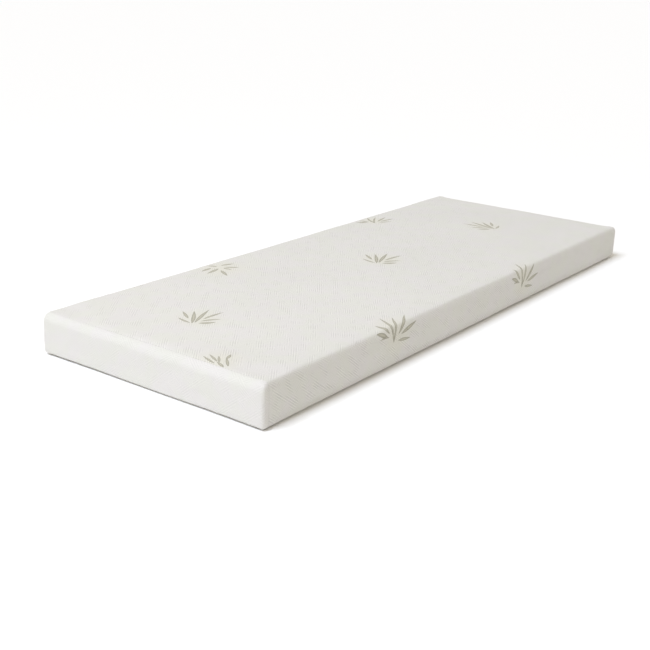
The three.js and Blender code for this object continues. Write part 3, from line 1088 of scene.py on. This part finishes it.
def add_wrap(grid):
    motifs = all_motifs()
    inlays = [Inlay(grid, motif) for motif in motifs]
    free = np.ones((grid.shape[0] - 1, grid.shape[1] - 1), bool)
    for inlay in inlays:
        free[inlay.i0 : inlay.i1, inlay.j0 : inlay.j1] = False
    index = np.arange(grid.shape[0] * grid.shape[1]).reshape(grid.shape)
    faces = quads_of(index)[free].tolist()
    leaves = [False] * len(faces)
    vertices = [grid.placed.reshape(-1, 3)]
    uv = [grid.uv]
    count = len(grid.uv)
    for inlay in inlays:
        triangles = inlay.faces(count)
        faces += [triangle[::-1] for triangle in triangles]
        leaves += inlay.is_leaf
        new_uv = np.array(inlay.uv)
        place = grid.blend(grid.placed, new_uv)
        place += grid.blend(grid.normals, new_uv) * (LEAF_RISE * np.array(inlay.rise))[:, None]
        vertices.append(place)
        uv.append(new_uv)
        count += len(new_uv)
    uv = np.concatenate(uv)
    leaf_middle = np.concatenate([np.zeros(len(grid.uv)), *(inlay.rise for inlay in inlays)])
    for inlay in inlays:
        leaf_middle[inlay.own] = np.maximum(leaf_middle[inlay.own], inlay.own_rise)
    vertices = np.concatenate(vertices)
    values = {"tint": glow(uv, motifs), "leaf_middle": leaf_middle, **rib_strengths(uv)}
    piece = add_mesh("cover_wrap_knit", "cover_knit", vertices, faces, "cover_wrap", uv, values, leaves)
    thicken(piece, CLOTH_THICKNESS)


# ---------------------------------------------------------------- cover: end panels

CORNER_STEPS = 9
PANEL_RINGS = (0.012, 0.05, 0.12, 0.22, 0.35, 0.5, 0.62)  # shares of the way from the face to the seam
# This also sets how dark the panels' furrows are painted: painted shade, as on the wrap.
PANEL_FURROWS = 0.42  # how deep they are, to the ones on top


def panel_spokes():
    """Where the panel's flat part ends, and the way out from there, all the way round."""
    half_y = HALF_WIDTH - CORNER
    low = BOTTOM_EDGE_UP
    high = HEIGHT - END_EDGE
    across = np.linspace(-half_y, half_y, 60)
    upright = np.linspace(low, high, 8)
    spokes = []

    def corner(y, z, start):
        for step in range(1, CORNER_STEPS):
            spokes.append((y, z, math.radians(start + 90 * step / CORNER_STEPS)))

    spokes += [(half_y, z, 0.0) for z in upright]
    corner(half_y, high, 0)
    spokes += [(y, high, math.pi / 2) for y in across[::-1]]
    corner(-half_y, high, 90)
    spokes += [(-half_y, z, math.pi) for z in upright[::-1]]
    corner(-half_y, low, 180)
    spokes += [(y, low, 1.5 * math.pi) for y in across]
    corner(half_y, low, 270)
    return np.array(spokes), across, upright


def panel_mesh(sign, settled):
    spokes, across, upright = panel_spokes()
    depth_at_seam = HALF_LENGTH - SEAM_X - SEAM_HALF_GAP
    from_edge = np.array(EDGE_STATIONS[:-1])
    rings = np.concatenate([depth_at_seam * np.array(PANEL_RINGS), depth_at_seam - from_edge[::-1]])
    rings = np.sort(rings)
    y, z, turn = spokes.T
    above = np.sin(turn) > 0
    sideways = CORNER * np.cos(turn)
    inward = np.hypot(sideways, np.where(above, END_EDGE, BOTTOM_EDGE_IN) * np.sin(turn))
    outward = np.hypot(sideways, np.where(above, END_EDGE, BOTTOM_EDGE_UP) * np.sin(turn))
    points = []
    uvs = []
    depths = []
    keep_x = []
    for ring in rings:
        back = min(ring, depth_at_seam)
        round_part = np.minimum(back / inward, 1)
        out = outward * np.sqrt(1 - (1 - round_part) ** 2)
        x = np.full(len(y), HALF_LENGTH - back)
        points.append(np.stack([x, y + out * np.cos(turn), z + out * np.sin(turn)], axis=1))
        cloth = (inward + outward) / 2 * np.arccos(1 - round_part) + np.maximum(back - inward, 0)
        uvs.append(np.stack([y + cloth * np.cos(turn), z + cloth * np.sin(turn)], axis=1))
        depths.append(np.full(len(y), fold_depth(np.array([depth_at_seam - ring]))[0]))
        keep_x.append(np.full(len(y), back > 0.75 * depth_at_seam))
    flat = np.stack(np.meshgrid(across, upright, indexing="ij"), axis=-1).reshape(-1, 2)
    flat_points = np.column_stack([np.full(len(flat), HALF_LENGTH), flat])
    plain = np.concatenate([flat_points] + points)
    plain[:, 0] *= sign
    keep = np.concatenate([np.zeros(len(flat), bool)] + keep_x)
    plain = COVER.onto(plain, keep)
    placed, normals = settle(plain, settled)
    depth = np.concatenate([np.zeros(len(flat))] + depths)
    placed -= normals * depth[:, None]
    uv = np.concatenate([flat] + uvs)

    flat_index = np.arange(len(flat)).reshape(len(across), len(upright))
    faces = quads_of(flat_index.T).reshape(-1, 4).tolist()
    numbered = {(round(a, 6), round(b, 6)): n for n, (a, b) in enumerate(flat)}
    innermost = [numbered[round(a, 6), round(b, 6)] for a, b in zip(y, z)]
    levels = np.vstack([innermost, np.arange(len(flat), len(plain)).reshape(len(rings), -1)])
    levels = np.column_stack([levels, levels[:, 0]])
    faces += [list(dict.fromkeys(face)) for face in quads_of(levels.T).reshape(-1, 4).tolist()]
    if sign < 0:
        faces = [face[::-1] for face in faces]
    return placed, faces, uv


def add_panel(end, sign, settled):
    vertices, faces, uv = panel_mesh(sign, settled)
    faint = np.full(len(vertices), PANEL_FURROWS)
    values = {"tint": 0 * faint, "ribs": faint, "cross_ribs": faint}
    node = f"cover_end_panel_{end}"
    piece = add_mesh(f"end_panel_{end}_knit", "cover_knit", vertices, faces, node, uv, values)
    thicken(piece, CLOTH_THICKNESS)


# ---------------------------------------------------------------- cover: sewn seams

STITCH_PITCH = 0.0031


def add_end_seam(end, sign, settled):
    """The lockstitch that closes the gap between wrap and panel, all the way round."""
    half_y = HALF_WIDTH - 0.001
    corners = np.array([(half_y, 0.001), (half_y, HEIGHT), (-half_y, HEIGHT), (-half_y, 0.001)])
    path = []
    for a, b in zip(corners, np.roll(corners, -1, axis=0)):
        count = round(np.linalg.norm(b - a) / STITCH_PITCH)
        path += [a + (b - a) * step / count for step in range(count)]
    path = np.array(path)
    plain = np.column_stack([np.full(len(path), sign * SEAM_X), path])
    plain = COVER.onto(plain, np.ones(len(plain), bool))
    placed, normals = settle(plain, settled)
    placed -= normals * (FOLD + 0.0003)
    gap = np.roll(placed, -1, axis=0) - placed
    length = np.maximum(np.linalg.norm(gap, axis=1), 1e-9)[:, None]
    ends = placed + gap / length * (0.84 * np.minimum(length, STITCH_PITCH))
    seam = f"end_seam_{end}"
    add_stitches(f"{seam}_stitches", placed, ends, normals, 0.00035, 0.0004, seam)


def add_topstitching(half, side):
    """A row of stitches that holds the wrap's folded edge to the zip's tape."""
    across = ZIP_HALF_OPENING + TOPSTITCH_FROM_EDGE
    reach = ZIP_HALF_LENGTH - 0.016
    x = np.arange(-reach, reach, STITCH_PITCH)
    y = np.full(len(x), HALF_WIDTH - TOPSTITCH_SUNK + 0.0001)
    z = np.full(len(x), ZIP_Z + side * across)
    starts = np.stack([x, y, z], axis=1)
    ends = starts + (STITCH_PITCH * 0.8, 0, 0)
    add_stitches(f"zip_topstitching_{half}", starts, ends, (0.0, 1.0, 0.0))


# ---------------------------------------------------------------- zip

COIL_PITCH = 0.0015
COIL_WIRE = 0.00025  # radius of the monofilament
COIL_STEPS = 10  # points in one turn of it
COIL_MIDDLE = 0.00125  # of a coil's turns, from the zip's centre line
COIL_REACH = 0.00168  # to each side of that
TAPE_RIB = 0.0013
TAPE_RIB_RISE = 0.00009
TAPE_CORD = 0.0032  # from the tape's inner edge to the cord that carries the coil
TAPE_CORD_WIDTH = 0.0008
TAPE_CORD_RISE = 0.00012
TAPE_THICKNESS = 0.0005
TAPE_LINES = (432, 34)  # along it and across it


def add_tape(half, side):
    """A woven tape with lengthwise ribs and a thicker cord along the edge that carries the coil."""
    node = f"zip_tape_{half}"
    low, high = cad_box(node)
    x = np.linspace(low[0], high[0], TAPE_LINES[0])
    inner = abs((low if side > 0 else high)[2] - ZIP_Z)
    outer = abs((high if side > 0 else low)[2] - ZIP_Z)
    across = np.linspace(inner, outer, TAPE_LINES[1])
    x, across = np.meshgrid(x, across, indexing="ij")
    rib = TAPE_RIB_RISE * np.cos(2 * math.pi * (across - inner) / TAPE_RIB)
    cord = TAPE_CORD_RISE * np.exp(-(((across - inner - TAPE_CORD) / TAPE_CORD_WIDTH) ** 2))
    y = high[1] - 0.0001 + rib + cord
    vertices = np.stack([x, y, ZIP_Z + side * across], axis=-1).reshape(-1, 3)
    index = np.arange(len(vertices)).reshape(x.shape)
    faces = quads_of(index)[..., ::side].reshape(-1, 4).tolist()
    piece = add_mesh(f"{node}_weave", "zip_tape", vertices, faces, node)
    thicken(piece, TAPE_THICKNESS)


def add_coil(half, side):
    """A monofilament wound in flat turns. The two coils' turns lie between each other's."""
    node = f"zip_coil_{half}"
    low, high = cad_box(node)
    turns = round((high[0] - low[0]) / COIL_PITCH) - 1
    phase = np.arange(turns * COIL_STEPS + 1) * 2 * math.pi / COIL_STEPS
    offset = 0.75 if side > 0 else 1.25
    x = low[0] + COIL_PITCH * (phase / (2 * math.pi) + offset - 0.5)
    across = COIL_MIDDLE + COIL_REACH * np.cos(phase)
    y = (low[1] + high[1]) / 2 + ((high[1] - low[1]) / 2 - COIL_WIRE) * np.sin(phase)
    path = np.stack([x, y, ZIP_Z + side * across], axis=1)
    add_mesh(f"{node}_turns", "zip_coil", *tube_mesh(path, 5, COIL_WIRE), node)


def add_cast_piece(node, body, voxel=0.00022):
    """A CAD piece with its edges worn round, as a die casting's are."""
    source = next(o for o in bpy.data.objects if o.get("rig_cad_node") == node or o.name == node)
    mesh = source.data.copy()
    mesh.transform(source.matrix_world)
    mesh.materials.clear()
    mesh.materials.append(MATERIALS["zip_metal"])
    piece = add_object(f"{node}_cast", mesh)
    remesh = piece.modifiers.new("voxels", "REMESH")
    set_up(remesh, mode="VOXEL", voxel_size=voxel, use_smooth_shade=True)
    set_up(piece.modifiers.new("smooth", "SMOOTH"), factor=0.5, iterations=6)
    apply_modifiers(piece)
    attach(piece, body)
    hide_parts(node)


# ---------------------------------------------------------------- care label

LABEL_THICKNESS = 0.00012
LABEL_LINES = 24  # along each of its two layers


def add_label():
    """A blank satin tab: one ribbon folded in two, its ends caught in the seam."""
    low, high = cad_box("care_label")
    length = high[0] - low[0]
    out_and_back = np.concatenate([np.linspace(0, 1, LABEL_LINES), np.linspace(1, 0, LABEL_LINES)])
    outer = np.arange(len(out_and_back)) < LABEL_LINES
    s, t = np.meshgrid(out_and_back, np.linspace(0, 1, 16), indexing="ij")
    curl = 0.0026 * s**2 + 0.0016 * s**2 * (1 - t) ** 2 + 0.0005 * np.sin(2.3 * math.pi * s) * s
    gap = 0.00022 + 0.0006 * s * (1 - s) + 0.0002 * s
    layer = np.where(outer, 1.0, 0.0)[:, None] * gap
    ease = np.sqrt(np.clip(1 - ((s - 1) / 0.03) ** 2, 0, 1))
    layer = np.where(s > 0.97, layer * (1 - ease) + 0.5 * gap * ease, layer)
    y = low[1] + 0.00015 + curl + layer
    x = high[0] - length * s
    z = low[2] + (high[2] - low[2]) * t + 0.0006 * np.sin(math.pi * s)
    vertices = np.stack([x, y, z], axis=-1).reshape(-1, 3)
    index = np.arange(len(vertices)).reshape(s.shape)
    faces = quads_of(index)[..., ::-1].reshape(-1, 4).tolist()
    piece = add_mesh("care_label_satin", "label_satin", vertices, faces, "care_label")
    thicken(piece, LABEL_THICKNESS)

    heights = np.arange(low[2] + 0.002, high[2] - 0.003, STITCH_PITCH)
    x = np.full(len(heights), high[0] - 0.0022)
    y = np.full(len(heights), low[1] + 0.0007)
    starts = np.stack([x, y, heights], axis=1)
    ends = starts + (0, 0, STITCH_PITCH * 0.78)
    add_stitches("care_label_stitches", starts, ends, (0.0, 1.0, 0.0), 0.00018, 0.0002)


# ---------------------------------------------------------------- inside the cover

SOCK_SIDE = HALF_WIDTH - cad_box("inner_sock")[1, 1]
SOCK_FLAT = HEIGHT - cad_box("inner_sock")[1, 2]
FOAM_SIDE = HALF_WIDTH - cad_box("support_foam_base")[1, 1]
FOAM_FLAT = HEIGHT - cad_box("memory_foam_layer")[1, 2]
EDGE_LINES = (0, 0.0025, 0.006, 0.011, 0.018, 0.028)  # how far a block's first lines lie from its edges
SOCK_STEP = 0.02  # between its lines after that
FOAM_STEP = 0.025
SOCK_THICKNESS = 0.0008
OVERLOCK_PITCH = 0.0025


def add_sock():
    """A thin knitted sleeve that fits the foam closely, sewn shut at the foot end."""
    block = COVER.drawn_in(SOCK_SIDE, SOCK_FLAT)
    points, faces = block.grid(EDGE_LINES, SOCK_STEP)
    points -= block.normal(points) * (0.0002 + np.abs(unevenness(points, 0.06, 0.0002)))[:, None]
    piece = add_mesh("inner_sock_knit", "sock_knit", points, faces, "inner_sock")
    thicken(piece, SOCK_THICKNESS)

    seam = "inner_sock_closing_seam"
    low, high = cad_box(seam)
    y = np.arange(low[1] + OVERLOCK_PITCH, high[1] - OVERLOCK_PITCH, OVERLOCK_PITCH)
    lift = np.tile((-1.0, 1.0), len(y))[: len(y)] * 0.0009
    z = (low[2] + high[2]) / 2 + lift
    x = np.full(len(y), low[0] + 0.0001)
    points = np.stack([x, y, z], axis=1)
    starts, ends = points[:-1], points[1:]
    outwards = (-1.0, 0.0, 0.0)
    add_stitches("inner_sock_overlock_seam", starts, ends, outwards, 0.0002, 0.0002, seam)


def add_foam(node, slot, low=None, high=None):
    """A block of foam as it comes off the cutting wire: faces that wave a little, and soft corners."""
    block = COVER.drawn_in(FOAM_SIDE, FOAM_FLAT, low, high)
    points, faces = block.grid(EDGE_LINES, FOAM_STEP)
    dip = 0.0002 + np.abs(unevenness(points, 0.09, 0.0006))
    points -= block.normal(points) * dip[:, None]
    piece = add_mesh(f"{node}_block", slot, points, faces, node)


# ---------------------------------------------------------------- build


def build():
    add_camera()
    add_light()
    add_floor()

    make_knit()
    make_leaf_yarn()
    make_thread()
    make_metal()
    make_coil()
    make_satin()
    make_weave("zip_tape", ZIP_COLOUR, 0.0009, 0.0001)
    make_weave("sock_knit", SOCK_COLOUR, 0.0016, 0.0002, sheen=0.1)
    make_foam("memory_foam", MEMORY_FOAM_COLOUR, 0.0011)
    make_foam("support_foam", SUPPORT_FOAM_COLOUR, 0.0016)

    settled = Settled()
    add_wrap(WrapGrid(settled))
    for end, sign in (("head", 1), ("foot", -1)):
        add_panel(end, sign, settled)
        add_end_seam(end, sign, settled)

    for half, side in (("upper", 1), ("lower", -1)):
        add_tape(half, side)
        add_coil(half, side)
        add_topstitching(half, side)
        add_cast_piece(f"zip_top_stop_{half}", BODY, voxel=0.00012)
    add_cast_piece("zip_bottom_stop", BODY, voxel=0.00012)
    add_cast_piece("zip_slider", "slider")
    add_cast_piece("zip_pull", "pull")
    add_label()

    add_sock()
    add_foam("memory_foam_layer", "memory_foam", low=cad_box("memory_foam_layer")[0, 2])
    add_foam("support_foam_base", "support_foam", high=cad_box("support_foam_base")[1, 2])


build()
